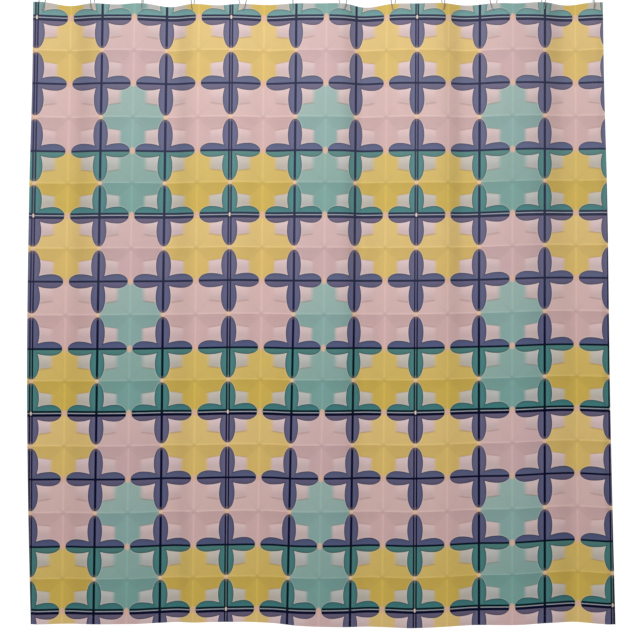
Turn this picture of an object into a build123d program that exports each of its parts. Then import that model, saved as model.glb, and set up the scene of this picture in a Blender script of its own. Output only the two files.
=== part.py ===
from build123d import *

import os
from math import acos, asin, atan2, cos, degrees, hypot, radians, sin, tan

# A printed shower curtain hung on twelve wire rings with snap gates.
# Frame: origin on the axis of the rod at mid width, +X along the rod to the right,
# +Y away from the viewer of the printed face, +Z up. Millimetres.
# The cloth hangs in a shallow zigzag of twelve flat strips, one to each ring. Each strip is hinged
# to the next at the fold between them, so the whole curtain draws like a concertina.

# Cloth, measured flat
EYELET_COUNT = 12
EYELET_PITCH = 158.8
SIDE_MARGIN = 28.0
CLOTH_HEIGHT = 1880.0
CLOTH_THICKNESS = 0.5
HEM_HEIGHT = 40.0
HEM_THICKNESS = 1.0

# Buttonholes in the top hem
SLOT_WIDTH = 9.0
SLOT_HEIGHT = 14.0
SLOT_CORNER = 0.8
SLOT_BELOW_MIDDLE = 4.0
STITCH_BAND = 1.8
STITCH_THICKNESS = 1.6

# Wire rings, pear shaped, hung over a one inch rod
ROD_DIAMETER = 25.4
WIRE_DIAMETER = 2.8
TOP_ARC_RADIUS = 22.6
BOTTOM_ARC_RADIUS = 8.0
ARC_CENTRE_DISTANCE = 45.4
RING_SPACING = 151.3
RING_YAWS = [48.0, -17.0, -3.0, -16.0, 50.0, 0.0, 50.0, -28.0, 14.0, -50.0, 16.0, 0.0]

# Snap gate that closes the front leg of each ring
GATE_DROP = 19.5
GATE_THICKNESS = 1.5
GATE_WIDTH = 2.4
GATE_EYE_DIAMETER = 3.2
PIN_DIAMETER = 1.3
PIN_CLEARANCE = 0.2
FORK_LENGTH = 3.6
FORK_WIDTH = 3.6
CHEEK_THICKNESS = 0.8
SIDE_CLEARANCE = 0.2
CATCH_LENGTH = 6.0
CATCH_WALL = 1.0
CATCH_REACH = 1.7
CATCH_CLEARANCE = 0.3
LEG_BELOW_TIP = 1.5

# Folds
FOLD_CLEARANCE = 0.1
FOLD_GAP = 0.15
SLOT_TOP_CLEARANCE = 0.3

# Worked out from the sizes above
WIRE_RADIUS = WIRE_DIAMETER / 2
TOP_CENTRE_Z = (ROD_DIAMETER + WIRE_DIAMETER) / 2 - TOP_ARC_RADIUS
BOTTOM_CENTRE_Z = TOP_CENTRE_Z - ARC_CENTRE_DISTANCE
LEG_LEAN = asin((TOP_ARC_RADIUS - BOTTOM_ARC_RADIUS) / ARC_CENTRE_DISTANCE)
RING_BOTTOM_Z = BOTTOM_CENTRE_Z - BOTTOM_ARC_RADIUS
SLOT_TOP_Z = RING_BOTTOM_Z + WIRE_RADIUS + SLOT_TOP_CLEARANCE
SLOT_CENTRE_Z = SLOT_TOP_Z - SLOT_HEIGHT / 2
CLOTH_TOP_Z = SLOT_CENTRE_Z + SLOT_BELOW_MIDDLE + HEM_HEIGHT / 2
HEM_BOTTOM_Z = CLOTH_TOP_Z - HEM_HEIGHT
CLOTH_BOTTOM_Z = CLOTH_TOP_Z - CLOTH_HEIGHT
HALF_PITCH = EYELET_PITCH / 2
FOLD_OFFSET = HEM_THICKNESS / 2 + FOLD_CLEARANCE
HALF_LINK = hypot(HALF_PITCH, FOLD_OFFSET)
REST_ANGLE = degrees(acos(RING_SPACING / (2 * HALF_LINK)) + atan2(FOLD_OFFSET, HALF_PITCH))


def ring_x(index):
    """Place along the rod of ring 1 to EYELET_COUNT."""
    return (index - (EYELET_COUNT + 1) / 2) * RING_SPACING


def heading(index):
    """Turn of a strip about +Z: odd strips run towards the back, even ones to the front."""
    return REST_ANGLE if index % 2 else -REST_ANGLE


def strip_face_plane(index):
    """Upright plane through the middle of a strip's thickness, x along the strip and y up."""
    turn = radians(heading(index))
    return Plane(
        origin=(ring_x(index), 0, 0),
        x_dir=(cos(turn), sin(turn), 0),
        z_dir=(sin(turn), -cos(turn), 0),
    )


def strip_ends(index):
    """Left and right ends of a strip, measured along it from its buttonhole."""
    left = -SIDE_MARGIN if index == 1 else -HALF_PITCH + FOLD_GAP
    right = SIDE_MARGIN if index == EYELET_COUNT else HALF_PITCH - FOLD_GAP
    return left, right


def ring_plane(index):
    """Plane of a ring's wire, x to its back leg and y up."""
    turn = radians(RING_YAWS[index - 1])
    return Plane(
        origin=(ring_x(index), 0, 0),
        x_dir=(-sin(turn), cos(turn), 0),
        z_dir=(cos(turn), sin(turn), 0),
    )


def leg_point(side, height):
    """Point of a ring's straight leg at a height; side is -1 for the front leg, 1 for the back."""
    foot = BOTTOM_CENTRE_Z - BOTTOM_ARC_RADIUS * sin(LEG_LEAN)
    reach = BOTTOM_ARC_RADIUS * cos(LEG_LEAN)
    return Vector(side * (reach + (height - foot) * tan(LEG_LEAN)), height)


def plane_along(plane, start, end):
    """Plane parallel to another, with its origin at start and its x towards end."""
    origin = plane.from_local_coords(start)
    return Plane(origin=origin, x_dir=plane.from_local_coords(end) - origin, z_dir=plane.z_dir)


GATE_PIVOT = Vector(-TOP_ARC_RADIUS, TOP_CENTRE_Z)
GATE_TIP = leg_point(-1, TOP_CENTRE_Z - GATE_DROP)
GATE_LENGTH = (GATE_TIP - GATE_PIVOT).length
FORK_ARC = degrees(FORK_LENGTH / TOP_ARC_RADIUS)
HALF_FORK_GAP = GATE_THICKNESS / 2 + SIDE_CLEARANCE
HALF_FORK = HALF_FORK_GAP + CHEEK_THICKNESS
CATCH_SEAT = GATE_WIDTH / 2 + CATCH_CLEARANCE


def finish(builder, name):
    """Label a finished sub-part and write its file."""
    builder.part.label = name
    export_step(builder.part, f"parts/{name}.step")


def make_panel(index):
    """Single cloth of one strip, from the top hem down to the bottom edge."""
    left, right = strip_ends(index)
    with BuildPart() as panel:
        with BuildSketch(strip_face_plane(index)):
            with Locations(((left + right) / 2, (HEM_BOTTOM_Z + CLOTH_BOTTOM_Z) / 2)):
                Rectangle(right - left, HEM_BOTTOM_Z - CLOTH_BOTTOM_Z)
        extrude(amount=CLOTH_THICKNESS / 2, both=True)
    finish(panel, f"panel_{index:02d}")


def make_top_hem(index):
    """Folded double cloth along the top of one strip, open where the buttonhole sits."""
    left, right = strip_ends(index)
    with BuildPart() as hem:
        with BuildSketch(strip_face_plane(index)):
            with Locations(((left + right) / 2, (HEM_BOTTOM_Z + CLOTH_TOP_Z) / 2)):
                Rectangle(right - left, HEM_HEIGHT)
            with Locations((0, SLOT_CENTRE_Z)):
                RectangleRounded(
                    SLOT_WIDTH + 2 * STITCH_BAND,
                    SLOT_HEIGHT + 2 * STITCH_BAND,
                    SLOT_CORNER + STITCH_BAND,
                    mode=Mode.SUBTRACT,
                )
        extrude(amount=HEM_THICKNESS / 2, both=True)
    finish(hem, f"top_hem_{index:02d}")


def make_buttonhole(index):
    """Band of dense stitching round the slot that the ring's wire passes through."""
    with BuildPart() as buttonhole:
        with BuildSketch(strip_face_plane(index)):
            with Locations((0, SLOT_CENTRE_Z)):
                RectangleRounded(
                    SLOT_WIDTH + 2 * STITCH_BAND,
                    SLOT_HEIGHT + 2 * STITCH_BAND,
                    SLOT_CORNER + STITCH_BAND,
                )
                RectangleRounded(SLOT_WIDTH, SLOT_HEIGHT, SLOT_CORNER, mode=Mode.SUBTRACT)
        extrude(amount=STITCH_THICKNESS / 2, both=True)
    finish(buttonhole, f"buttonhole_{index:02d}")


def make_ring(index):
    """Open pear-shaped wire with a fork and pin at its top end and a catch on its front leg."""
    plane = ring_plane(index)
    lean = degrees(LEG_LEAN)
    top_end = 180 - FORK_ARC
    leg_end = leg_point(-1, GATE_TIP.Y - LEG_BELOW_TIP)
    with BuildPart() as ring:
        with BuildLine(plane) as wire:
            top = CenterArc((0, TOP_CENTRE_Z), TOP_ARC_RADIUS, top_end, -(top_end + lean))
            bottom = CenterArc((0, BOTTOM_CENTRE_Z), BOTTOM_ARC_RADIUS, -lean, 2 * lean - 180)
            Line(top @ 1, bottom @ 0)
            Line(bottom @ 1, plane.from_local_coords(leg_end))
        with BuildSketch(Plane(origin=wire.line @ 0, z_dir=wire.line % 0)):
            Circle(WIRE_RADIUS)
        sweep()
        with BuildSketch(plane_along(plane, GATE_PIVOT, plane.to_local_coords(wire.line @ 0))):
            Circle(FORK_WIDTH / 2)
            Rectangle(FORK_LENGTH + WIRE_RADIUS, FORK_WIDTH, align=(Align.MIN, Align.CENTER))
        extrude(amount=HALF_FORK, both=True)
        with BuildSketch(plane_along(plane, GATE_PIVOT, GATE_TIP)):
            Circle(FORK_LENGTH - WIRE_RADIUS / 2)
        extrude(amount=HALF_FORK_GAP, both=True, mode=Mode.SUBTRACT)
        with BuildSketch(plane_along(plane, GATE_PIVOT, GATE_TIP)):
            Circle(PIN_DIAMETER / 2)
        extrude(amount=HALF_FORK, both=True)
        with BuildSketch(plane_along(plane, GATE_TIP, GATE_TIP * 2 - GATE_PIVOT)):
            with Locations((0, -CATCH_SEAT - CATCH_WALL)):
                Rectangle(
                    CATCH_LENGTH,
                    CATCH_WALL + CATCH_SEAT + CATCH_REACH,
                    align=(Align.CENTER, Align.MIN),
                )
        extrude(amount=HALF_FORK, both=True)
        with BuildSketch(plane_along(plane, GATE_TIP, GATE_TIP * 2 - GATE_PIVOT)):
            with Locations((CATCH_CLEARANCE, -CATCH_SEAT)):
                Rectangle(
                    CATCH_LENGTH,
                    CATCH_SEAT + CATCH_REACH + CATCH_WALL,
                    align=(Align.MAX, Align.MIN),
                )
        extrude(amount=HALF_FORK_GAP, both=True, mode=Mode.SUBTRACT)
    finish(ring, f"ring_{index:02d}")


def make_gate(index):
    """Flat bar that swings inwards on the ring's pin and snaps back into the catch."""
    with BuildPart() as gate:
        with BuildSketch(plane_along(ring_plane(index), GATE_PIVOT, GATE_TIP)):
            Rectangle(GATE_LENGTH, GATE_WIDTH, align=(Align.MIN, Align.CENTER))
            Circle(GATE_EYE_DIAMETER / 2)
            Circle(PIN_DIAMETER / 2 + PIN_CLEARANCE, mode=Mode.SUBTRACT)
        extrude(amount=GATE_THICKNESS / 2, both=True)
    finish(gate, f"gate_{index:02d}")


os.makedirs("parts", exist_ok=True)
for number in range(1, EYELET_COUNT + 1):
    make_panel(number)
    make_top_hem(number)
    make_buttonhole(number)
    make_ring(number)
    make_gate(number)
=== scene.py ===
import math

import bpy
import numpy as np
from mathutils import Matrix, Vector


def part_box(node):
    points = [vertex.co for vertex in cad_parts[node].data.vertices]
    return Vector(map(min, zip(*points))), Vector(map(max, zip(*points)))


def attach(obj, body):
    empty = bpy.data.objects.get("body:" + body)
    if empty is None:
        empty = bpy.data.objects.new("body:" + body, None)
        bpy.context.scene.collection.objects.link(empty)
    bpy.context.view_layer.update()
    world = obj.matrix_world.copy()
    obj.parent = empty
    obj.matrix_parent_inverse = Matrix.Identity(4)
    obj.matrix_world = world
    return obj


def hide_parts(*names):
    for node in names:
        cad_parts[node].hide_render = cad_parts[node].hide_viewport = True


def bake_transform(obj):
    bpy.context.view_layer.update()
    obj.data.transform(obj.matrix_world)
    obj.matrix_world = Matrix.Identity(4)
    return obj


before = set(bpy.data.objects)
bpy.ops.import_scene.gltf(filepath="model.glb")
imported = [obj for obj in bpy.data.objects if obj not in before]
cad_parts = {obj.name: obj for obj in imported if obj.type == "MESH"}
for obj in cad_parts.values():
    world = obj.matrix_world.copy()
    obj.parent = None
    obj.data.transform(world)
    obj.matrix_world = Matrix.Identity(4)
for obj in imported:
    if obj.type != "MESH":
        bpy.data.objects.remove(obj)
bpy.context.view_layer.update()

# A printed shower curtain on wire snap rings. The CAD model has the rings and gates, which stay,
# and the cloth as stiff strips, which the cloth built here stands for. Metres; +X to the right
# along the rod, +Y away from the printed face, +Z up.

# ---------------------------------------------------------------------------------------------
# Sizes taken from the frame
# ---------------------------------------------------------------------------------------------

RING_COUNT = sum(node.startswith("ring_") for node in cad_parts)


def middle_x(node):
    """Middle of a CAD node across the curtain."""
    low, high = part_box(node)
    return (low.x + high.x) / 2


RING_X = np.array([middle_x(f"buttonhole_{k + 1:02d}") for k in range(RING_COUNT)])
CLOTH_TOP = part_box("top_hem_01")[1].z
CLOTH_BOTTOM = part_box("panel_01")[0].z
HEM_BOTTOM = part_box("top_hem_01")[0].z
STITCH_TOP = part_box("buttonhole_01")[1].z
STITCH_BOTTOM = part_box("buttonhole_01")[0].z

# ---------------------------------------------------------------------------------------------
# The cloth as cut, and how it hangs
# ---------------------------------------------------------------------------------------------

FLAT_WIDTH = 1.8028
FLAT_HEIGHT = CLOTH_TOP - CLOTH_BOTTOM
SIDE_MARGIN = 0.028
EYELET_PITCH = (FLAT_WIDTH - 2 * SIDE_MARGIN) / (RING_COUNT - 1)
EYELET_U = SIDE_MARGIN + EYELET_PITCH * np.arange(RING_COUNT)
CLOTH_THICKNESS = 0.0005
TOP_HEM = CLOTH_TOP - HEM_BOTTOM
BOTTOM_HEM = 0.025
SIDE_HEM = 0.013
HEM_EXTRA = 0.0006
HEM_STEP = 0.001

# How deep each gap between rings folds, to the back and to the front by turns, how far its fold
# keeps to the right of its middle, how far the top edge sags between its two rings, and how far
# it stands up above each ring.
FOLD_DEPTHS = np.array([14, 14, 16, 14, 14, 17, 21, 17, 18, 18, 17]) / 1000
FOLD_SHIFTS = np.array([8, 8, 12, 10, 2, -5, -11, -7, -5, -3, -4]) / 100
EDGE_SAGS = np.array([6.5, 4.3, 7, 5.2, 0.5, 1.2, 7.6, 1, 3, 3, 6]) / 1000
EDGE_RISES = np.array([3.6, -0.5, -0.3, -2.4, -2.1, -1, -0.6, -2, 0.3, -0.3, 3, 2.4]) / 1000

# The top edge's sag has a part that fades close to the edge and a part that reaches far down, and
# its rise above the rings fades within a few millimetres.
NEAR_SAG = {"share": 0.55, "reach": 0.05}
FAR_SAG = {"share": 0.45, "reach": 0.5}
RISE_REACH = 0.012

# How much the folds flatten towards the bottom, how far they wander sideways (in gaps), and how
# much further the cloth leans back than forward.
FOLD_RELAX = 0.30
FOLD_WANDER = 0.08
FOLD_LEAN = 0.27

# Small uneven ripples on the folds, the curl of the side edges, the share of the flat margins that
# the hung ones reach outwards, and how far the rings' pull draws the cloth forward below them.
BROAD_RIPPLE = 0.0022
FINE_RIPPLE = 0.0011
SIDE_CURL = 0.010
MARGIN_REACH = 0.97
RING_PULL = 0.0015

# The bottom edge's rise and fall, left to right, and the side edges' spread with depth.
WAVE_AT = np.linspace(0, 1, 12)
WAVE_RISE = np.array([5, 5, 7, 10.5, 13, 1, -3.5, -6, -1, 3, 10.5, 3.5]) / 1000
SPREAD_AT = np.array([0, 0.10, 0.30, 0.65, 0.85, 1.0])
LEFT_SPREAD = np.array([0, 2, 12, 19.5, 15, 8.5]) / 1000
RIGHT_SPREAD = np.array([0, 3, 13.5, 24, 32.5, 40]) / 1000

# Slit of a buttonhole, inside its stitches: round the wire it is open, and below it all but closed.
# The shares are of the slit's length, from its top.
SLIT_INSET = 0.0018
SLIT_TOP = CLOTH_TOP - STITCH_TOP + SLIT_INSET
SLIT_LENGTH = STITCH_TOP - STITCH_BOTTOM - 2 * SLIT_INSET
SLIT_HALF = 0.0024
SLIT_FOOT = 0.0001
CROWN_SHARE = 0.10
TAPER_SHARE = 0.27
FOOT_SHARE = 0.07


def smooth_step(value, low, high):
    """0 below low, 1 above high and smooth between them."""
    t = np.clip((value - low) / (high - low), 0, 1)
    return t * t * (3 - 2 * t)


def through(value, places, heights):
    """Smooth curve of cubics through heights at places that needn't be evenly spaced."""
    slopes = np.gradient(heights, places)
    index = np.clip(np.searchsorted(places, value) - 1, 0, len(places) - 2)
    width = places[index + 1] - places[index]
    t = np.clip((value - places[index]) / width, 0, 1)
    near = heights[index] * (2 * t**3 - 3 * t**2 + 1) + slopes[index] * width * (t**3 - 2 * t**2 + t)
    far = heights[index + 1] * (3 * t**2 - 2 * t**3) + slopes[index + 1] * width * (t**3 - t**2)
    return near + far


def gap_number(u):
    """Gap between rings that a flat place u is in, counted from 0 at the first ring."""
    return np.clip((u - SIDE_MARGIN) / EYELET_PITCH, 0, RING_COUNT - 1)


def edge_sag(u, depth):
    """Drop of the cloth between two rings, most of it near the top edge."""
    inside = gap_number(u)
    gap = np.clip(np.floor(inside).astype(int), 0, RING_COUNT - 2)
    hump = np.sin(math.pi * (inside - gap)) ** 2
    fade = sum(part["share"] * np.exp(-depth / part["reach"]) for part in (NEAR_SAG, FAR_SAG))
    rise = through(inside, np.arange(RING_COUNT + 0.0), EDGE_RISES) * np.exp(-((depth / RISE_REACH) ** 2))
    return EDGE_SAGS[gap] * hump * fade - rise


def bottom_wave(u, depth):
    """Rise of the cloth that grows towards its uneven bottom edge."""
    share = np.clip(depth / FLAT_HEIGHT, 0, 1)
    return through(u / FLAT_WIDTH, WAVE_AT, WAVE_RISE) * share**1.2


def hung_x(u, share):
    """Where the cloth hangs along the rod: between its rings, and spreading with depth."""
    across = u / FLAT_WIDTH
    to_left = (1 - across) * through(share, SPREAD_AT, LEFT_SPREAD)
    to_right = across * through(share, SPREAD_AT, RIGHT_SPREAD)
    beyond = (u - EYELET_U[0]) * (u < EYELET_U[0]) + (u - EYELET_U[-1]) * (u > EYELET_U[-1])
    return np.interp(u, EYELET_U, RING_X) + beyond * MARGIN_REACH - to_left + to_right


def folded_y(u, share):
    """Depth of the folds, which go to the back and to the front by turns."""
    across = u / FLAT_WIDTH
    gap = (u - SIDE_MARGIN) / EYELET_PITCH
    place = np.clip(gap - 0.5, 0, RING_COUNT - 2)
    middles = np.arange(RING_COUNT - 1.0)
    fold = through(place, middles, FOLD_DEPTHS) * (1 - FOLD_RELAX * smooth_step(share, 0.05, 1.0))
    sway = np.sin(math.pi * (2.1 * share + 1.3 * across))
    shift = through(place, middles, FOLD_SHIFTS) + FOLD_WANDER * sway * smooth_step(share, 0.03, 0.5)
    turn = math.pi * (gap - shift * np.sin(math.pi * gap) ** 2)
    return fold * (np.sin(turn) + FOLD_LEAN * (1 - np.cos(2 * turn)))


def rippled_y(u, share):
    """Uneven ripples on top of the folds, two or three to a gap, coming and going across the cloth."""
    across = u / FLAT_WIDTH
    gap = (u - SIDE_MARGIN) / EYELET_PITCH
    broad = np.sin(math.pi * (2.0 * gap + 0.35) + 1.1 * share) * np.sin(7.0 * across + 2.6 * share + 0.4)
    fine = np.sin(math.pi * 3.1 * gap + 4.0 * share) * np.sin(11.0 * across + 1.0)
    broad = BROAD_RIPPLE * broad * smooth_step(share, 0.02, 0.25)
    return broad + FINE_RIPPLE * fine * smooth_step(share, 0.03, 0.3)


def hang(u, depth):
    """Places of the cloth's middle layer, for flat places u from its left edge and depth from its top."""
    share = np.clip(depth / FLAT_HEIGHT, 0, 1)
    across = u / FLAT_WIDTH
    sides = smooth_step(across, 0.985, 1.0) + 0.6 * smooth_step(-across, -0.012, 0.0)
    curl = SIDE_CURL * sides * (0.4 + share)
    inside = gap_number(u)
    pull = np.exp(-((inside - np.round(inside)) ** 2) / 0.004) * np.exp(-depth / 0.12)
    pull = RING_PULL * pull * smooth_step(depth, 0.02, 0.06)
    y = folded_y(u, share) + rippled_y(u, share) + curl - pull
    z = CLOTH_TOP - depth - edge_sag(u, depth) + bottom_wave(u, depth)
    return np.stack([hung_x(u, share), y, z], axis=-1)


def facing(u, depth):
    """Unit normals of the printed face."""
    step = 0.002
    down = hang(u, depth + step) - hang(u, depth - step)
    along = hang(u + step, depth) - hang(u - step, depth)
    normal = np.cross(down, along)
    return normal / np.linalg.norm(normal, axis=-1, keepdims=True)


def hem_share(u, depth):
    """1 where the cloth is folded double in a hem, 0 elsewhere."""
    past_hems = [
        TOP_HEM - depth,
        depth - (FLAT_HEIGHT - BOTTOM_HEM),
        SIDE_HEM - u,
        u - (FLAT_WIDTH - SIDE_HEM),
    ]
    return smooth_step(np.maximum.reduce(past_hems), -HEM_STEP, HEM_STEP)


def slit_opening(depth):
    """Half width of a buttonhole's slit at a depth."""
    t = (depth - SLIT_TOP) / SLIT_LENGTH
    crown = np.sqrt(1 - (1 - np.clip(t / CROWN_SHARE, 0, 1)) ** 2)
    taper = SLIT_HALF + (SLIT_FOOT - SLIT_HALF) * smooth_step(t, CROWN_SHARE, TAPER_SHARE)
    foot = np.sqrt(1 - np.clip((t - 1 + FOOT_SHARE) / FOOT_SHARE, 0, 1) ** 2)
    return np.where((t > 0) & (t < 1), crown * taper * foot, 0.0)


# ---------------------------------------------------------------------------------------------
# Where the print lies on the cloth
# ---------------------------------------------------------------------------------------------

TILE = 0.1998
REPEAT = 3
FIRST_ROW = 0.0427
# Level lines of one repeat, in tiles: the third one lies a little low.
LEVEL_LINES = np.array([0, 1, 2.024, 3])
# Upright bars of the print, left to right, at the top, the middle and the bottom of the curtain.
# These places, and the lift below, were set from measurements of the photograph, scaled to metres.
# They aren't worked out from the frame or the repeat.
BARS_TOP = np.array([-847, -649, -457, -261, -65, 117, 299, 490, 685, 873]) / 1000
BARS_MIDDLE = np.array([-865, -664, -470, -269, -74, 109, 295, 487, 684, 880]) / 1000
BARS_BOTTOM = np.array([-872, -678, -479, -278, -94, 96, 291, 487, 684, 891]) / 1000
# How far the print lies above level, left to right, everywhere below the top, and how much further
# it climbs at the bottom from one flat place across the curtain to another.
PRINT_LIFT = np.array([-0.3, -0.3, 0, 2.1, 0.2, -0.7, 2.5, 4.8]) / 1000
SHEAR = 0.015
SHEAR_FROM = 0.62
SHEAR_TO = 1.15


def bars_at(share):
    """Upright bars of the print at shares of the curtain's height."""
    to_middle = np.clip(2 * share, 0, 1)[..., None]
    to_bottom = np.clip(2 * share - 1, 0, 1)[..., None]
    return BARS_TOP + (BARS_MIDDLE - BARS_TOP) * to_middle + (BARS_BOTTOM - BARS_MIDDLE) * to_bottom


def print_place(points, u, depth):
    """Print coordinates, in tiles from the first double bars, of cloth points."""
    share = depth / FLAT_HEIGHT
    bars = bars_at(share)
    x = points[..., 0]
    index = np.clip((x[..., None] > bars).sum(axis=-1) - 1, 0, bars.shape[-1] - 2)
    left = np.take_along_axis(bars, index[..., None], axis=-1)[..., 0]
    right = np.take_along_axis(bars, index[..., None] + 1, axis=-1)[..., 0]
    column = index + (x - left) / (right - left)
    lift = through(u / FLAT_WIDTH, np.linspace(0, 1, len(PRINT_LIFT)), PRINT_LIFT)
    lift = lift * smooth_step(share, 0, 0.35) + SHEAR * share * smooth_step(u, SHEAR_FROM, SHEAR_TO)
    level = (depth + edge_sag(u, depth) - FIRST_ROW + lift) / TILE
    repeat = np.floor(level / REPEAT) * REPEAT
    row = repeat + np.interp(level - repeat, LEVEL_LINES, np.arange(REPEAT + 1))
    return np.stack([column, row], axis=-1)


# ---------------------------------------------------------------------------------------------
# Material graphs
# ---------------------------------------------------------------------------------------------


class Graph:
    """Adds nodes to one material and wires them."""

    def __init__(self, name):
        self.material = bpy.data.materials.new(name)
        self.material.use_nodes = True
        self.tree = self.material.node_tree
        self.tree.nodes.clear()

    def node(self, kind, **settings):
        made = self.tree.nodes.new(kind)
        for key, value in settings.items():
            setattr(made, key, value)
        return made

    def put(self, socket, value):
        """Wires an output into a socket, or sets the socket to a number or colour."""
        if isinstance(value, bpy.types.NodeSocket):
            self.tree.links.new(value, socket)
        elif value is not None:
            socket.default_value = value

    def math(self, operation, a, b=None, c=None, clamp=False):
        made = self.node("ShaderNodeMath", operation=operation, use_clamp=clamp)
        for socket, value in zip(made.inputs, (a, b, c)):
            self.put(socket, value)
        return made.outputs[0]

    def add(self, a, b):
        return self.math("ADD", a, b)

    def subtract(self, a, b):
        return self.math("SUBTRACT", a, b)

    def times(self, a, b):
        return self.math("MULTIPLY", a, b)

    def most(self, a, b):
        return self.math("MAXIMUM", a, b)

    def least(self, a, b):
        return self.math("MINIMUM", a, b)

    def above(self, a, limit):
        return self.math("GREATER_THAN", a, limit)

    def between(self, a, low, high):
        return self.times(self.above(a, low), self.math("LESS_THAN", a, high))

    def either(self, first, a, b):
        """a where first is 1, b where it is 0."""
        return self.add(self.times(first, a), self.times(self.subtract(1.0, first), b))

    def oval(self, a, half_a, b, half_b):
        """Distance from the middle of an oval, 1 on its outline."""
        a, b = self.math("DIVIDE", a, half_a), self.math("DIVIDE", b, half_b)
        return self.math("SQRT", self.add(self.times(a, a), self.times(b, b)))

    def ramp(self, value, low, high, start=0.0, end=1.0):
        """Smooth passage from start at low to end at high."""
        made = self.node("ShaderNodeMapRange", interpolation_type="SMOOTHSTEP")
        self.put(made.inputs["Value"], value)
        made.inputs["From Min"].default_value = low
        made.inputs["From Max"].default_value = high
        made.inputs["To Min"].default_value = start
        made.inputs["To Max"].default_value = end
        return made.outputs["Result"]

    def fade(self, value, low, high):
        """Smooth passage from 1 at low to 0 at high."""
        return self.ramp(value, low, high, 1.0, 0.0)

    def mix(self, share, a, b):
        """Colour a, turning into colour b as share goes from 0 to 1."""
        made = self.node("ShaderNodeMix", data_type="RGBA")
        self.put(made.inputs["Factor"], share)
        self.put(made.inputs[6], a)
        self.put(made.inputs[7], b)
        return made.outputs[2]

    def shade(self, colour, amount):
        """Colour made lighter or darker by a factor."""
        made = self.node("ShaderNodeVectorMath", operation="SCALE")
        self.put(made.inputs[0], colour)
        self.put(made.inputs["Scale"], amount)
        return made.outputs[0]

    def tint(self, share, colour, factors):
        """Colour with its three channels made stronger or weaker as share goes from 0 to 1."""
        made = self.node("ShaderNodeVectorMath", operation="MULTIPLY")
        self.put(made.inputs[0], colour)
        made.inputs[1].default_value = factors
        return self.mix(share, colour, made.outputs[0])

    def map_place(self, layer):
        return self.node("ShaderNodeUVMap", uv_map=layer).outputs[0]

    def noise(self, place, scale, detail=2.0, roughness=0.5):
        made = self.node("ShaderNodeTexNoise")
        self.put(made.inputs["Vector"], place)
        made.inputs["Scale"].default_value = scale
        made.inputs["Detail"].default_value = detail
        made.inputs["Roughness"].default_value = roughness
        return made.outputs["Fac"]

    def wave(self, place, scale, direction):
        made = self.node("ShaderNodeTexWave", bands_direction=direction)
        self.put(made.inputs["Vector"], place)
        made.inputs["Scale"].default_value = scale
        return made.outputs["Fac"]

    def bump(self, height, distance, strength=1.0, normal=None):
        made = self.node("ShaderNodeBump")
        self.put(made.inputs["Height"], height)
        made.inputs["Distance"].default_value = distance
        made.inputs["Strength"].default_value = strength
        self.put(made.inputs["Normal"], normal)
        return made.outputs["Normal"]

    def surface(self, colour, roughness, normal=None, **sockets):
        """Principled surface and the material's output."""
        shader = self.node("ShaderNodeBsdfPrincipled")
        self.put(shader.inputs["Base Color"], colour)
        self.put(shader.inputs["Roughness"], roughness)
        self.put(shader.inputs["Normal"], normal)
        for name, value in sockets.items():
            shader.inputs[name.replace("_", " ")].default_value = value
        output = self.node("ShaderNodeOutputMaterial")
        self.tree.links.new(shader.outputs[0], output.inputs["Surface"])
        return self.material


# How much brighter than its own colour a white cloth would look in the scene's light
LIGHT_LEVEL = 1.25


def dye(red, green, blue):
    """Linear colour of a dye given as it looks, 0 to 255 a channel."""
    def linear(value):
        c = value / 255
        return (c / 12.92 if c <= 0.04045 else ((c + 0.055) / 1.055) ** 2.4) / LIGHT_LEVEL
    return (linear(red), linear(green), linear(blue), 1.0)


# Dyes of the print: tile faces by row and column of the repeat, corner patches, petals and bars
YELLOW_TOP = dye(216, 184, 107)
YELLOW_LOW = dye(206, 176, 83)
PINK_TOP = dye(203, 170, 171)
PINK_LOW = dye(208, 174, 173)
TEAL_TOP = dye(136, 169, 165)
TEAL_LOW = dye(120, 161, 155)
PATCH_TOP = dye(211, 188, 197)
PATCH_TOP_PINK = dye(207, 184, 184)
PATCH_MIDDLE = dye(211, 184, 184)
PATCH_LOW = dye(188, 184, 182)
PETAL_SLATE = dye(101, 99, 131)
PETAL_SLATE_LOW = dye(93, 94, 129)
PETAL_TEAL = dye(74, 129, 129)
PETAL_PALE = dye(164, 192, 188)
NAVY = dye(4, 8, 42)
DEEP_TEAL = dye(1, 24, 36)
MAUVE = dye(108, 100, 128)
DULL_TEAL = dye(92, 112, 110)
PALE_LINE = dye(160, 166, 176)
CREAM = dye(228, 196, 158)
PEACH = dye(220, 178, 156)
DOT = dye(228, 204, 192)
FACE_HAZE = dye(214, 200, 182)
PETAL_HALO = dye(232, 220, 222)
SHADOW_BROWN = dye(150, 118, 104)
# Painted veil of light over the top rows of the curtain, mixed into the faces, patches and petals
PAINTED_TOP_VEIL = dye(206, 197, 190)
# Painted veil of light over the bars in the top rows of the curtain
PAINTED_VEIL_NAVY = dye(53, 57, 82)


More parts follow.
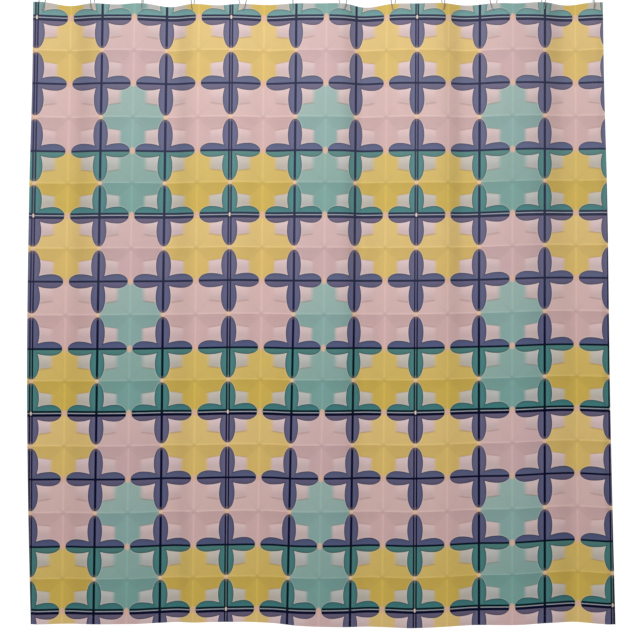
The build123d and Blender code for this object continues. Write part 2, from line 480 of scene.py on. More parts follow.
class Tile:
    """Print coordinates inside one tile of the repeat."""

    def __init__(self, graph, place):
        separate = graph.node("ShaderNodeSeparateXYZ")
        graph.put(separate.inputs[0], place)
        self.rows_down = separate.outputs[1]
        column = graph.math("WRAP", separate.outputs[0], REPEAT, 0.0)
        row = graph.math("WRAP", self.rows_down, REPEAT, 0.0)
        self.across = graph.math("FRACT", column)
        self.down = graph.math("FRACT", row)
        self.upper = graph.math("LESS_THAN", self.down, 0.5)
        self.lower = graph.subtract(1.0, self.upper)
        self.from_side = self.to_edge(graph, self.across, 1.0)
        self.from_bar = self.to_edge(graph, self.down, 1.0)
        self.to_double_side = self.to_edge(graph, column, REPEAT)
        self.to_double_bar = self.to_edge(graph, row, REPEAT)
        self.double_side = graph.math("LESS_THAN", self.to_double_side, 0.5)
        self.double_bar = graph.math("LESS_THAN", self.to_double_bar, 0.5)
        self.middle_column = graph.between(column, 1.0, 2.0)
        self.middle_row = graph.between(row, 1.0, 2.0)
        self.last_row = graph.above(row, 2.0)
        self.hem_row = graph.math("LESS_THAN", self.rows_down, 0.0)

    def to_edge(self, graph, place, whole):
        """Distance to the nearer end of a whole."""
        return graph.least(place, graph.subtract(whole, place))


# Shading of the tile faces, as shares of their brightness, and the haze on their upper halves
FACE_LEVEL = 1.03
HAZE = 0.13
HAZE_FALL = 0.06
WING_SHADOW = 0.035
RIDGE_SHADOW = 0.10
LIGHT_FALL = 0.04
CREASE_SHADOW = 0.03
KNOT_SHADOW = 0.05
RIDGE_LIGHT = 0.10


def face_dye(graph, tile):
    """Plain colour of the tile faces by row and column, hazier in their upper halves."""
    first = graph.mix(tile.middle_column, YELLOW_TOP, PINK_TOP)
    second = graph.mix(tile.middle_column, PINK_LOW, TEAL_TOP)
    third = graph.mix(tile.middle_column, YELLOW_LOW, TEAL_LOW)
    colour = graph.mix(tile.last_row, graph.mix(tile.middle_row, first, second), third)
    haze = graph.times(tile.upper, graph.subtract(HAZE, graph.times(tile.across, HAZE_FALL)))
    return graph.mix(haze, colour, FACE_HAZE)


def face_shadow(graph, tile, side, level):
    """How much darker the folded-paper faces are below their ridge, in creases and at the knot."""
    wings = graph.times(graph.ramp(graph.subtract(side, level), -0.03, 0.03), WING_SHADOW)
    ridge = graph.ramp(level, 0.0, 0.24, RIDGE_SHADOW, RIDGE_SHADOW / 2)
    ridge = graph.times(ridge, graph.ramp(side, 0.0, 0.16, 0.3, 1.0))
    below = graph.times(tile.lower, graph.add(ridge, wings))
    falling = graph.times(graph.subtract(graph.add(tile.across, tile.down), 1.0), LIGHT_FALL)
    apart = graph.math("ABSOLUTE", graph.subtract(side, level))
    crease = graph.times(graph.ramp(apart, 0.0, 0.05, CREASE_SHADOW, 0.0), graph.fade(side, 0.05, 0.22))
    knot = graph.ramp(graph.add(side, level), 0.015, 0.05, KNOT_SHADOW, 0.0)
    return graph.add(graph.add(below, falling), graph.add(crease, knot))


def face_ridges(graph, tile, side, level):
    """Pale ridges: the upright one, and the upper side of the level one."""
    upright = graph.times(graph.fade(side, 0.006, 0.022), graph.ramp(level, 0.02, 0.06))
    flat = graph.times(graph.fade(level, 0.014, 0.034), graph.ramp(side, 0.02, 0.06))
    return graph.most(upright, graph.times(flat, tile.upper))


def tile_colour(graph, tile):
    """Tile faces with their shading and ridges."""
    side = graph.subtract(0.5, tile.from_side)
    level = graph.subtract(0.5, tile.from_bar)
    brightness = graph.subtract(FACE_LEVEL, face_shadow(graph, tile, side, level))
    ridge = graph.add(graph.times(face_ridges(graph, tile, side, level), RIDGE_LIGHT), 1.0)
    return graph.shade(face_dye(graph, tile), graph.times(brightness, ridge))


# Corner patches: how far from the bars their level edges lie and how these slope, in tiles, how
# fully they hide the tile under them, and the shadow past their curled edges
PATCH_EDGE_UPPER = 0.328
PATCH_EDGE_LOWER = 0.342
PATCH_SLOPE = 0.14
PATCH_COVER = 0.86
CURL_SHADOW = 0.20


def patch_dye(graph, tile):
    """Colour of the corner patches by row and column, each paler towards its top."""
    first = graph.mix(tile.middle_column, PATCH_TOP, PATCH_TOP_PINK)
    colour = graph.mix(tile.last_row, graph.mix(tile.middle_row, first, PATCH_MIDDLE), PATCH_LOW)
    light_upper = graph.ramp(tile.from_bar, 0.12, 0.27, 1.11, 0.91)
    light_lower = graph.ramp(tile.from_bar, 0.16, 0.31, 0.93, 1.12)
    return graph.shade(colour, graph.either(tile.upper, light_upper, light_lower))


def patch_cover(graph, tile, past):
    """Where the patches lie; the upper ones end more softly on their open side."""
    soft = graph.fade(tile.from_side, 0.245, 0.350)
    crisp = graph.fade(tile.from_side, 0.270, 0.340)
    cover = graph.times(graph.either(tile.upper, soft, crisp), graph.fade(past, -0.006, 0.006))
    return graph.times(cover, PATCH_COVER)


def curl_shadow(graph, tile, past):
    """Shadow past a patch's curled edge, stronger under the upper ones."""
    band = graph.times(graph.ramp(past, -0.012, 0.004), graph.fade(past, 0.006, 0.030))
    reach = graph.times(graph.fade(tile.from_side, 0.27, 0.34), graph.ramp(tile.from_side, 0.06, 0.16))
    strength = graph.times(graph.add(tile.upper, 1.0), CURL_SHADOW)
    return graph.times(graph.times(band, reach), strength)


def patch_colour(graph, tile, under):
    """Corner patches and their shadows on the tile faces."""
    edge = graph.either(tile.upper, PATCH_EDGE_UPPER, PATCH_EDGE_LOWER)
    edge = graph.subtract(edge, graph.times(tile.from_side, PATCH_SLOPE))
    past = graph.subtract(tile.from_bar, edge)
    colour = graph.mix(patch_cover(graph, tile, past), under, patch_dye(graph, tile))
    return graph.mix(curl_shadow(graph, tile, past), colour, SHADOW_BROWN)


# Petals, in tiles from the crossing that they grow from: where they are widest, end and start, and
# their half widths beside single and double bars
UPRIGHT_PETAL = {"widest": 0.237, "tip": 0.472, "root": -0.02}
UPRIGHT_HALF = {"single": 0.113, "double": 0.120}
LEVEL_PETAL = {"widest": 0.290, "tip": 0.460, "root": 0.01}
LEVEL_HALF = {"single": 0.112, "double": 0.134}
SLIMMER_BELOW = 0.010
TINT_BELOW_BAR = (1.07, 0.94, 0.88)
TINT_ABOVE_BAR = (0.78, 0.91, 0.94)


def petal_inside(graph, along, across, shape, half_width):
    """How far a point is inside a petal's outline, and how far out from its spine (0 to 1)."""
    offset = graph.subtract(along, shape["widest"])
    to_tip = graph.math("DIVIDE", offset, shape["tip"] - shape["widest"])
    to_root = graph.math("DIVIDE", offset, shape["root"] - shape["widest"])
    reach = graph.most(to_tip, to_root)
    inner = graph.most(graph.subtract(1.0, graph.times(reach, reach)), 0.0)
    width = graph.times(graph.math("SQRT", inner), half_width)
    return graph.subtract(width, across), graph.math("DIVIDE", across, graph.most(width, 0.001))


def petal_dye(graph, tile, out, is_level):
    """Dye of the petals, darker to their outlines, with painted shade that grows down the curtain, tinted
    beside level bars.
    """
    slate = graph.mix(tile.middle_row, PETAL_SLATE, PETAL_SLATE_LOW)
    colour = graph.mix(tile.last_row, slate, PETAL_TEAL)
    colour = graph.mix(graph.times(tile.hem_row, 0.3), colour, PETAL_PALE)
    colour = graph.shade(colour, graph.ramp(out, 0.35, 1.0, 1.07, 0.90))
    # Painted shade: the petals darken by rows down the curtain
    colour = graph.shade(colour, graph.ramp(tile.rows_down, 1.0, 8.5, 1.03, 0.90))
    colour = graph.tint(graph.times(is_level, tile.upper), colour, TINT_BELOW_BAR)
    return graph.tint(graph.times(is_level, tile.lower), colour, TINT_ABOVE_BAR)


def petal_colour(graph, tile, under):
    """Petals along every tile edge, with dark outlines and a pale halo round them."""
    half_width = graph.either(tile.double_side, UPRIGHT_HALF["double"], UPRIGHT_HALF["single"])
    half_height = graph.either(tile.double_bar, LEVEL_HALF["double"], LEVEL_HALF["single"])
    half_height = graph.subtract(half_height, graph.times(tile.upper, SLIMMER_BELOW))
    upright, upright_out = petal_inside(graph, tile.from_bar, tile.from_side, UPRIGHT_PETAL, half_width)
    level, level_out = petal_inside(graph, tile.from_side, tile.from_bar, LEVEL_PETAL, half_height)
    inside = graph.most(upright, level)
    is_level = graph.above(level, upright)
    colour = petal_dye(graph, tile, graph.either(is_level, level_out, upright_out), is_level)
    colour = graph.shade(colour, graph.ramp(inside, 0.002, 0.014, 0.42, 1.0))
    halo = graph.times(graph.ramp(inside, -0.022, -0.008), graph.fade(inside, -0.006, 0.0))
    under = graph.mix(graph.times(halo, 0.20), under, PETAL_HALO)
    return graph.mix(graph.ramp(inside, -0.004, 0.003), under, colour)


# Bars, in tiles from the tile edge: each pair of numbers says how far a thing is full and where it
# has faded out. A pair of level bars is thicker below its pale line than above it.
UPRIGHT_SINGLE = (0.015, 0.023)
UPRIGHT_CORE = (0.006, 0.012)
UPRIGHT_PAIR = (0.028, 0.036)
UPRIGHT_END = (0.458, 0.472)
UPRIGHT_CORE_COVER = 0.8
LEVEL_SINGLE = (0.011, 0.019)
LEVEL_CORE = (0.004, 0.011)
LEVEL_PAIR_ABOVE = 0.040
LEVEL_PAIR_BELOW = 0.050
LEVEL_END = (0.446, 0.458)


def bar_dye(graph, tile):
    """Dark dye of the bars, greener in the last row, under a painted veil of light towards the top of the
    curtain.
    """
    dark = graph.mix(tile.last_row, NAVY, DEEP_TEAL)
    # Painted light: a veil that greys the dark bars in the top rows
    return graph.mix(graph.ramp(tile.rows_down, 3.2, 5.2, 0.85, 0.0), dark, PAINTED_VEIL_NAVY)


def upright_bars(graph, tile, dark, under):
    """Bars up the tile sides: single inside the repeat, and pairs round a dull core at its sides."""
    core = graph.fade(tile.from_side, *UPRIGHT_CORE)
    pair = graph.times(graph.subtract(1.0, core), graph.fade(tile.from_side, *UPRIGHT_PAIR))
    line = graph.either(tile.double_side, pair, graph.fade(tile.from_side, *UPRIGHT_SINGLE))
    length = graph.fade(tile.from_bar, *UPRIGHT_END)
    core = graph.times(graph.times(core, tile.double_side), graph.times(length, UPRIGHT_CORE_COVER))
    colour = graph.mix(core, under, graph.mix(tile.last_row, MAUVE, DULL_TEAL))
    return graph.mix(graph.times(line, length), colour, dark)


def level_bars(graph, tile, dark, under):
    """Bars along the tile tops: single inside the repeat, and pairs round a pale line at its ends."""
    core = graph.fade(tile.from_bar, *LEVEL_CORE)
    past = graph.subtract(tile.from_bar, graph.either(tile.last_row, LEVEL_PAIR_ABOVE, LEVEL_PAIR_BELOW))
    pair = graph.times(graph.subtract(1.0, core), graph.fade(past, -0.004, 0.004))
    line = graph.either(tile.double_bar, pair, graph.fade(tile.from_bar, *LEVEL_SINGLE))
    length = graph.fade(tile.from_side, *LEVEL_END)
    beside_upright = graph.ramp(tile.from_side, 0.018, 0.026)
    core = graph.times(graph.times(core, tile.double_bar), graph.times(length, beside_upright))
    return graph.mix(graph.times(line, length), graph.mix(core, under, PALE_LINE), dark)


# Half widths and half heights of the peach necks and the dots, in tiles
NECK = (0.045, 0.064)
CROSSING_DOT = (0.018, 0.036)


def bead_colour(graph, tile, under):
    """Cream beads where upright bars part, peach necks where level bars part, dots where doubles cross."""
    from_bead = graph.oval(tile.from_side, 1.0, graph.subtract(0.5, tile.from_bar), 1.0)
    colour = graph.mix(graph.ramp(from_bead, 0.04, 0.09, 0.15, 0.0), under, PEACH)
    bead = graph.mix(graph.ramp(tile.down, 0.49, 0.53), CREAM, PEACH)
    colour = graph.mix(graph.fade(from_bead, 0.023, 0.036), colour, bead)
    neck = graph.oval(graph.subtract(0.5, tile.from_side), NECK[0], tile.from_bar, NECK[1])
    colour = graph.mix(graph.ramp(neck, 0.65, 1.05, 0.9, 0.0), colour, PEACH)
    dot = graph.oval(tile.to_double_side, CROSSING_DOT[0], tile.to_double_bar, CROSSING_DOT[1])
    return graph.mix(graph.fade(dot, 0.70, 1.0), colour, DOT)


def print_colour(graph):
    """The whole printed pattern, under a painted veil of light towards the top of the curtain."""
    tile = Tile(graph, graph.map_place("print"))
    colour = tile_colour(graph, tile)
    colour = patch_colour(graph, tile, colour)
    colour = petal_colour(graph, tile, colour)
    # Painted light: a veil that pales the pattern in the top rows
    colour = graph.mix(graph.ramp(tile.rows_down, 1.0, 5.5, 0.06, 0.0), colour, PAINTED_TOP_VEIL)
    dark = bar_dye(graph, tile)
    colour = upright_bars(graph, tile, dark, colour)
    colour = level_bars(graph, tile, dark, colour)
    return bead_colour(graph, tile, colour)


# Texture scales of the weave's yarns and slubs, of sewing thread and of buttonhole thread, and how
# far weave and thread stand up in bumps
WARP_SCALE = 420.0
WEFT_SCALE = 380.0
SLUB_SCALE = 260.0
THREAD_SCALE = 900.0
SATIN_SCALE = 1400.0
WEAVE_BUMP = 0.00018
THREAD_BUMP = 0.0001


def weave_height(graph):
    """Plain weave of fine yarns with slubs."""
    place = graph.map_place("flat")
    warp = graph.wave(place, WARP_SCALE, "X")
    weft = graph.wave(place, WEFT_SCALE, "Y")
    slub = graph.noise(place, SLUB_SCALE, 3.0, 0.6)
    return graph.add(graph.times(graph.add(warp, weft), 0.35), graph.times(slub, 0.5))


def printed_material():
    """Printed face: matt polyester, colour a little uneven with the yarn."""
    graph = Graph("printed_polyester")
    height = weave_height(graph)
    mottle = graph.noise(graph.map_place("flat"), 26.0, 4.0, 0.6)
    level = graph.add(graph.times(mottle, 0.06), graph.times(height, 0.035))
    colour = graph.shade(print_colour(graph), graph.add(level, 0.955))
    roughness = graph.add(graph.times(height, 0.12), 0.68)
    return graph.surface(
        colour,
        roughness,
        graph.bump(height, WEAVE_BUMP, 0.5),
        Sheen_Weight=0.03,
        Sheen_Roughness=0.5,
        Specular_IOR_Level=0.04,
    )


def reverse_material():
    """Unprinted back: off-white yarn with the print showing through faintly."""
    graph = Graph("reverse_polyester")
    height = weave_height(graph)
    mottle = graph.noise(graph.map_place("flat"), 34.0, 4.0, 0.6)
    colour = graph.mix(0.70, print_colour(graph), dye(232, 228, 224))
    level = graph.add(graph.times(height, 0.05), 0.93)
    colour = graph.shade(colour, graph.add(graph.times(mottle, 0.07), level))
    roughness = graph.add(graph.times(height, 0.12), 0.72)
    return graph.surface(
        colour,
        roughness,
        graph.bump(height, WEAVE_BUMP, 0.6),
        Sheen_Weight=0.15,
        Sheen_Roughness=0.5,
        Specular_IOR_Level=0.2,
    )


def thread_material():
    """Twisted sewing thread, clear enough for the print's colours to show."""
    graph = Graph("sewing_thread")
    place = graph.map_place("flat")
    twist = graph.wave(place, THREAD_SCALE, "DIAGONAL")
    fibre = graph.noise(place, THREAD_SCALE, 2.0, 0.7)
    yarn = graph.mix(fibre, dye(150, 140, 142), dye(190, 180, 178))
    colour = graph.mix(0.35, print_colour(graph), yarn)
    height = graph.add(graph.times(twist, 0.6), graph.times(fibre, 0.4))
    roughness = graph.add(graph.times(fibre, 0.2), 0.45)
    return graph.surface(colour, roughness, graph.bump(height, THREAD_BUMP, 0.6), Sheen_Weight=0.2)


def satin_material():
    """Dense satin stitches round a buttonhole, in thread that takes the print's colours."""
    graph = Graph("buttonhole_thread")
    place = graph.map_place("flat")
    fibre = graph.noise(place, SATIN_SCALE, 2.0, 0.7)
    colour = graph.shade(print_colour(graph), graph.add(graph.times(fibre, 0.16), 0.84))
    roughness = graph.add(graph.times(fibre, 0.2), 0.42)
    return graph.surface(colour, roughness, graph.bump(fibre, THREAD_BUMP, 0.6), Sheen_Weight=0.2)


def wire_material(name, tint, scratches):
    """Bright plated steel with a little dulling, and drawing marks of a texture scale."""
    graph = Graph(name)
    place = graph.node("ShaderNodeTexCoord").outputs["Object"]
    marks = graph.noise(place, scratches, 3.0, 0.65)
    dulling = graph.noise(place, 60.0, 3.0, 0.6)
    colour = graph.mix(graph.times(dulling, 0.5), tint, dye(176, 177, 180))
    roughness = graph.add(graph.times(dulling, 0.18), graph.add(graph.times(marks, 0.08), 0.08))
    return graph.surface(colour, roughness, graph.bump(marks, 0.00005, 0.25), Metallic=1.0)


# ---------------------------------------------------------------------------------------------
# Cloth, in one length for each gap between rings
# ---------------------------------------------------------------------------------------------

# Columns of a length and of an end margin, and the share of its width over which each gives way to a
# slit beside it
COLUMNS = 30
MARGIN_COLUMNS = 14
LIP_SHARE = 1 / 12
MARGIN_LIP_SHARE = 1 / 2
# Steps between rows: of the open cloth, and round the slits, which the fine rows reach past a little
ROW_STEP = 0.008
FINE_STEP = 0.0008
FINE_REACH = 0.002
# Rows across the edge of a hem
HEM_ROWS = HEM_STEP * np.array([-1, -0.5, 0, 0.5, 1])


def row_depths():
    """Depths of the mesh rows: close together round the slits and the hems' edges, wider elsewhere."""
    fine = np.arange(SLIT_TOP - FINE_REACH, SLIT_TOP + SLIT_LENGTH + FINE_REACH, FINE_STEP)
    hem = TOP_HEM + HEM_ROWS
    low_hem = FLAT_HEIGHT - BOTTOM_HEM + HEM_ROWS
    above = np.linspace(0, fine[0], 6)[:-1]
    middle = np.arange(hem[-1] + ROW_STEP / 2, low_hem[0] - ROW_STEP / 2, ROW_STEP)
    end = np.linspace(FLAT_HEIGHT - BOTTOM_HEM + 0.006, FLAT_HEIGHT, 4)
    between = np.linspace(fine[-1], hem[0], 4)[1:-1]
    return np.concatenate([above, fine, between, hem, middle, low_hem, end])


def grid(places, give):
    """Flat places (u, depth) of columns that give way to a slit by shares of its opening."""
    depths = row_depths()
    u = places[None, :] + give[None, :] * slit_opening(depths)[:, None]
    return u, np.repeat(depths[:, None], u.shape[1], axis=1)


def cloth_grid(gap):
    """Flat places of one length's front points, with a lip of a slit at either side."""
    share = np.linspace(0, 1, COLUMNS + 1)
    give = np.maximum(1 - share / LIP_SHARE, 0) - np.maximum(1 - (1 - share) / LIP_SHARE, 0)
    return grid(EYELET_U[gap] + EYELET_PITCH * share, give)


def edge_grid(from_u, to_u, slit_side):
    """Flat places of the margin outside the first or the last ring, with the slit's other lip."""
    share = np.linspace(0, 1, MARGIN_COLUMNS + 1)
    if slit_side == "left":
        give = np.maximum(1 - share / MARGIN_LIP_SHARE, 0)
    else:
        give = -np.maximum(1 - (1 - share) / MARGIN_LIP_SHARE, 0)
    return grid(from_u + (to_u - from_u) * share, give)


def double_sided(u, depth):
    """Points, faces, face materials, normals and flat places of a closed cloth over a grid."""
    rows, columns = u.shape
    points, normals = hang(u, depth), facing(u, depth)
    front = points + normals * CLOTH_THICKNESS / 2
    back = points - normals * (CLOTH_THICKNESS / 2 + HEM_EXTRA * hem_share(u, depth))[..., None]
    count = rows * columns
    index = np.arange(count).reshape(rows, columns)
    a, b, c, d = index[:-1, :-1], index[:-1, 1:], index[1:, 1:], index[1:, :-1]
    front_faces = np.stack([a, d, c, b], axis=-1).reshape(-1, 4)
    back_faces = np.stack([a, b, c, d], axis=-1).reshape(-1, 4) + count
    around = np.concatenate([index[0, :-1], index[:-1, -1], index[-1, :0:-1], index[:0:-1, 0]])
    following = np.roll(around, -1)
    rim = np.stack([around, following, following + count, around + count], axis=-1)
    faces = np.concatenate([front_faces, back_faces, rim])
    materials = np.concatenate([np.zeros(len(front_faces)), np.ones(len(back_faces)), np.zeros(len(rim))])
    vertices = np.concatenate([front.reshape(-1, 3), back.reshape(-1, 3)])
    vertex_normals = np.concatenate([normals.reshape(-1, 3), -normals.reshape(-1, 3)])
    flat = np.tile(np.stack([u, depth], axis=-1).reshape(-1, 2), (2, 1))
    return vertices, faces, materials, vertex_normals, flat


def mesh_object(name, vertices, faces, flat, materials, face_materials=None, normals=None):
    """Mesh object with smooth faces and the two maps that the materials read."""
    mesh = bpy.data.meshes.new(name)
    mesh.from_pydata(vertices.tolist(), [], [tuple(int(i) for i in face) for face in faces])
    loops = np.zeros(len(mesh.loops), int)
    mesh.loops.foreach_get("vertex_index", loops)
    places = {"print": print_place(vertices, flat[:, 0], flat[:, 1]), "flat": flat}
    for layer, place in places.items():
        mesh.uv_layers.new(name=layer).data.foreach_set("uv", place[loops].astype(np.float32).ravel())
    for material in materials:
        mesh.materials.append(material)
    if face_materials is not None:
        mesh.polygons.foreach_set("material_index", np.asarray(face_materials, np.int32))
    mesh.polygons.foreach_set("use_smooth", np.ones(len(mesh.polygons), bool))
    mesh.update()
    if normals is not None:
        mesh.normals_split_custom_set_from_vertices(normals.tolist())
    made = bpy.data.objects.new(name, mesh)
    bpy.context.scene.collection.objects.link(made)
    return made


def bend_over_gap(piece):
    """Bakes the piece's placement into its mesh."""
    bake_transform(piece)


def joined(*parts):
    """Several meshes' arrays as one."""
    offset = 0
    faces = []
    for part in parts:
        faces.append(part[1] + offset)
        offset += len(part[0])
    pick = [np.concatenate([part[i] for part in parts]) for i in (0, 2, 3, 4)]
    return pick[0], np.concatenate(faces), pick[1], pick[2], pick[3]


def make_cloth(gap, front, reverse):
    """One upright length of the curtain, from ring line to ring line; the end ones take in the margins."""
    parts = [double_sided(*cloth_grid(gap))]
    if gap == 0:
        parts.append(double_sided(*edge_grid(0.0, EYELET_U[0], "right")))
    if gap == RING_COUNT - 2:
        parts.append(double_sided(*edge_grid(EYELET_U[-1], FLAT_WIDTH, "left")))
    vertices, faces, materials, normals, flat = joined(*parts)
    name = f"curtain_length_{gap + 1:02d}"
    piece = mesh_object(name, vertices, faces, flat, [front, reverse], materials, normals)
    bend_over_gap(piece)
    strips = [gap + 1, gap + 2] if gap == RING_COUNT - 2 else [gap + 1]
    for strip in strips:
        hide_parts(f"panel_{strip:02d}", f"top_hem_{strip:02d}")
    return piece


# ---------------------------------------------------------------------------------------------
# Stitching
# ---------------------------------------------------------------------------------------------

STITCH_LENGTH = 0.0027
STITCH_PITCH = 0.0036
STITCH_WIDTH = 0.00055
STITCH_RISE = 0.0003
# How deep a stitch's ends dip into the cloth, and how far seams keep from hem and cloth edges
STITCH_DIP = 0.0001
SEAM_INSET = 0.0025
SEAM_END = 0.004


def stitch_runs(gap):
    """Middle (u, depth) and direction of each stitch in one length's hems."""
    start = SEAM_END if gap == 0 else EYELET_U[gap]
    stop = FLAT_WIDTH - SEAM_END if gap == RING_COUNT - 2 else EYELET_U[gap + 1]
    along = np.arange(start + STITCH_PITCH / 2, stop - STITCH_PITCH / 4, STITCH_PITCH)
    runs = []
    for depth in (TOP_HEM - SEAM_INSET, FLAT_HEIGHT - BOTTOM_HEM + SEAM_INSET):
        runs += [(u, depth, 1, 0) for u in along]
    down = np.arange(TOP_HEM + STITCH_PITCH, FLAT_HEIGHT - BOTTOM_HEM, STITCH_PITCH)
    if gap == 0:
        runs += [(SIDE_HEM - SEAM_INSET, depth, 0, 1) for depth in down]
    if gap == RING_COUNT - 2:
        runs += [(FLAT_WIDTH - SIDE_HEM + SEAM_INSET, depth, 0, 1) for depth in down]
    return np.array(runs)


def stitch_mesh(gap, side):
    """Small lens-shaped stitches lying on the front (side 1) or the back (side -1)."""
    runs = stitch_runs(gap)
    u, depth, du, dd = runs.T
    corners = [(-1, 0, 0), (0, -1, 0), (1, 0, 0), (0, 1, 0), (0, 0, 1), (0, 0, -1)]
    below = CLOTH_THICKNESS / 2 + (0 if side > 0 else HEM_EXTRA)
    vertices, flats = [], []
    for along, across, up in corners:
        place_u = u + (along * du * STITCH_LENGTH + across * dd * STITCH_WIDTH) / 2
        place_d = depth + (along * dd * STITCH_LENGTH + across * du * STITCH_WIDTH) / 2
        lift = below + up * STITCH_RISE - (STITCH_DIP if along else 0)
        vertices.append(hang(place_u, place_d) + side * facing(place_u, place_d) * lift)
        flats.append(np.stack([place_u, place_d], axis=-1))
    vertices = np.stack(vertices, axis=1).reshape(-1, 3)
    flats = np.stack(flats, axis=1).reshape(-1, 2)
    ring = [(0, 1), (1, 2), (2, 3), (3, 0)]
    lens = [(i, j, 4) for i, j in ring] + [(j, i, 5) for i, j in ring]
    faces = (np.arange(len(runs))[:, None, None] * len(corners) + np.array(lens)[None]).reshape(-1, 3)
    return vertices, faces if side < 0 else faces[:, ::-1], flats


def make_seams(gap, thread):
    """All the visible stitches of one length."""
    parts = [stitch_mesh(gap, side) for side in (1, -1)]
    vertices = np.concatenate([part[0] for part in parts])
    faces = np.concatenate([parts[0][1], parts[1][1] + len(parts[0][0])])
    flat = np.concatenate([part[2] for part in parts])
    piece = mesh_object(f"hem_stitches_{gap + 1:02d}", vertices, faces, flat, [thread])
    bend_over_gap(piece)
    return piece


# Satin band round a slit: its half width and height, how far it lies out from the slit's lip as a
# share of its half width, how much its stitches ridge it, and its mesh's steps
BAND_HALF = 0.0009
BAND_RISE = 0.0010
BAND_OUT = 0.75
BAND_RIDGE = 0.10
BAND_STEPS = 150
BAND_SIDES = 12


def slit_outline():
    """Closed outline of a slit: offsets across and depths, evenly spaced along it."""
    t = np.linspace(0, 1, 400)
    depth = SLIT_TOP + SLIT_LENGTH * (1 - np.cos(math.pi * t)) / 2
    half = slit_opening(depth)
    across = np.concatenate([half, -half[::-1][1:-1]])
    depths = np.concatenate([depth, depth[::-1][1:-1]])
    step = np.hypot(np.diff(across, append=across[0]), np.diff(depths, append=depths[0]))
    travelled = np.concatenate([[0], np.cumsum(step)])
    wanted = np.linspace(0, travelled[-1], BAND_STEPS, endpoint=False)
    across = np.interp(wanted, travelled, np.append(across, across[0]))
    return across, np.interp(wanted, travelled, np.append(depths, depths[0]))


def make_buttonhole(number, satin):
    """Satin-stitched band over the lips of one slit."""
    across, depth = slit_outline()
    down = np.roll(depth, -1) - np.roll(depth, 1)
    back = np.roll(across, 1) - np.roll(across, -1)
    out = np.stack([down, back], axis=-1)
    out = out / np.linalg.norm(out, axis=-1, keepdims=True)
    ridge = 1 + BAND_RIDGE * np.cos(math.pi * np.arange(BAND_STEPS))
    vertices, flats = [], []
    for turn in np.linspace(0, 2 * math.pi, BAND_SIDES, endpoint=False):
        shift = BAND_HALF * (BAND_OUT + math.cos(turn) * ridge)
        u = EYELET_U[number] + across + out[:, 0] * shift
        d = depth + out[:, 1] * shift
        level = hang(u, d) - facing(u, d) * HEM_EXTRA / 2
        vertices.append(level + facing(u, d) * (BAND_RISE * math.sin(turn) * ridge)[:, None])
        flats.append(np.stack([u, d], axis=-1))
    vertices = np.stack(vertices, axis=1).reshape(-1, 3)
    flats = np.stack(flats, axis=1).reshape(-1, 2)
    ring = np.arange(BAND_STEPS * BAND_SIDES).reshape(BAND_STEPS, BAND_SIDES)
    ahead, beside = np.roll(ring, -1, axis=0), np.roll(ring, -1, axis=1)
    faces = np.stack([ring, beside, np.roll(ahead, -1, axis=1), ahead], axis=-1).reshape(-1, 4)
    name = f"{number + 1:02d}"
    piece = mesh_object(f"buttonhole_band_{name}", vertices, faces, flats, [satin])
    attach(piece, f"cloth_{name}")
    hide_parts(f"buttonhole_{name}")


# ---------------------------------------------------------------------------------------------
# Rings, room, light and camera
# ---------------------------------------------------------------------------------------------


def finish_metal():
    """Materials for the rings and gates, which stay as the CAD has them."""
    wire = wire_material("plated_wire", dye(214, 215, 218), scratches=900.0)
    strip = wire_material("plated_strip", dye(206, 207, 211), scratches=1400.0)
    for name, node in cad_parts.items():
        if name.startswith(("ring_", "gate_")):
            node.data.materials.clear()
            node.data.materials.append(wire if name.startswith("ring_") else strip)


FLOOR_DROP = 0.30
FLOOR_HALF = 2.4
FLOOR_BACK = 1.2


def make_floor():
    """Plain pale floor some way below the curtain's bottom edge."""
    graph = Graph("pale_floor")
    place = graph.node("ShaderNodeTexCoord").outputs["Object"]
    grain = graph.noise(place, 3.0, 3.0)
    colour = graph.mix(grain, (0.90, 0.90, 0.90, 1), (0.94, 0.94, 0.94, 1))
    graph.surface(colour, 0.7)
    mesh = bpy.data.meshes.new("studio_floor")
    level = CLOTH_BOTTOM - FLOOR_DROP
    front = [(-FLOOR_HALF, -FLOOR_HALF, level), (FLOOR_HALF, -FLOOR_HALF, level)]
    back = [(FLOOR_HALF, FLOOR_BACK, level), (-FLOOR_HALF, FLOOR_BACK, level)]
    mesh.from_pydata(front + back, [], [(0, 1, 2, 3)])
    mesh.materials.append(graph.material)
    floor = bpy.data.objects.new("studio_floor", mesh)
    bpy.context.scene.collection.objects.link(floor)


# A soft lamp high in front of the curtain, and how bright the white surroundings are in front of the
# curtain and behind it, passing from one to the other between -WORLD_TURN and WORLD_TURN in Y
LAMP_PLACE = Vector((-0.17, -2.3, 0.50))
LAMP_AIM = Vector((0.0, 0.0, -0.90))
LAMP_SIZE = 0.7
LAMP_POWER = 57.5
WORLD_FRONT = 0.44
WORLD_BACK = 1.08
WORLD_TURN = 0.3


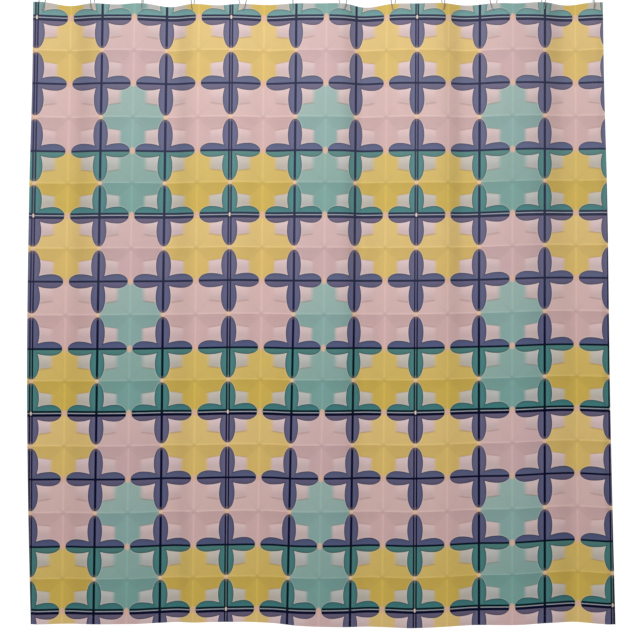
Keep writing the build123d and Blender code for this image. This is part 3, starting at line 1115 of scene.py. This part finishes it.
def make_lamp():
    """Square soft lamp, aimed a little above the middle of the cloth."""
    lamp = bpy.data.lights.new("key_lamp", "AREA")
    lamp.shape = "SQUARE"
    lamp.size = LAMP_SIZE
    lamp.energy = LAMP_POWER
    holder = bpy.data.objects.new("key_lamp", lamp)
    holder.location = LAMP_PLACE
    holder.rotation_euler = (LAMP_AIM - LAMP_PLACE).to_track_quat("-Z", "Y").to_euler()
    bpy.context.scene.collection.objects.link(holder)


def make_surroundings():
    """White surroundings, brightest behind the curtain."""
    world = bpy.data.worlds.new("studio_white")
    world.use_nodes = True
    tree = world.node_tree
    background = tree.nodes["Background"]
    background.inputs["Color"].default_value = (1, 1, 1, 1)
    place = tree.nodes.new("ShaderNodeTexCoord")
    split = tree.nodes.new("ShaderNodeSeparateXYZ")
    strength = tree.nodes.new("ShaderNodeMapRange")
    strength.inputs["From Min"].default_value = -WORLD_TURN
    strength.inputs["From Max"].default_value = WORLD_TURN
    strength.inputs["To Min"].default_value = WORLD_FRONT
    strength.inputs["To Max"].default_value = WORLD_BACK
    tree.links.new(place.outputs["Generated"], split.inputs[0])
    tree.links.new(split.outputs["Y"], strength.inputs["Value"])
    tree.links.new(strength.outputs["Result"], background.inputs["Strength"])
    bpy.context.scene.world = world


# The camera's view: its width at the curtain, its middle, and how far it reaches above the cloth
VIEW_WIDTH = 1.9436
VIEW_MIDDLE = 0.0120
VIEW_ABOVE = 0.0095
VIEW_DISTANCE = 6.0
SENSOR = 36.0


def make_camera():
    """Square-on view that takes in the cloth and cuts the rings off just above it."""
    camera = bpy.data.cameras.new("front_camera")
    camera.sensor_width = SENSOR
    camera.lens = SENSOR * VIEW_DISTANCE / VIEW_WIDTH
    camera.clip_end = 60
    holder = bpy.data.objects.new("front_camera", camera)
    level = CLOTH_TOP + VIEW_ABOVE - VIEW_WIDTH / 2
    holder.location = (VIEW_MIDDLE, -VIEW_DISTANCE, level)
    holder.rotation_euler = (math.pi / 2, 0, 0)
    bpy.context.scene.collection.objects.link(holder)
    bpy.context.scene.camera = holder
    bpy.context.scene.view_settings.view_transform = "Standard"


make_camera()
make_surroundings()
make_lamp()
make_floor()
finish_metal()
printed, unprinted = printed_material(), reverse_material()
thread, satin = thread_material(), satin_material()
for ring in range(RING_COUNT):
    make_buttonhole(ring, satin)
for space in range(RING_COUNT - 1):
    cloth = make_cloth(space, printed, unprinted)
    seams = make_seams(space, thread)
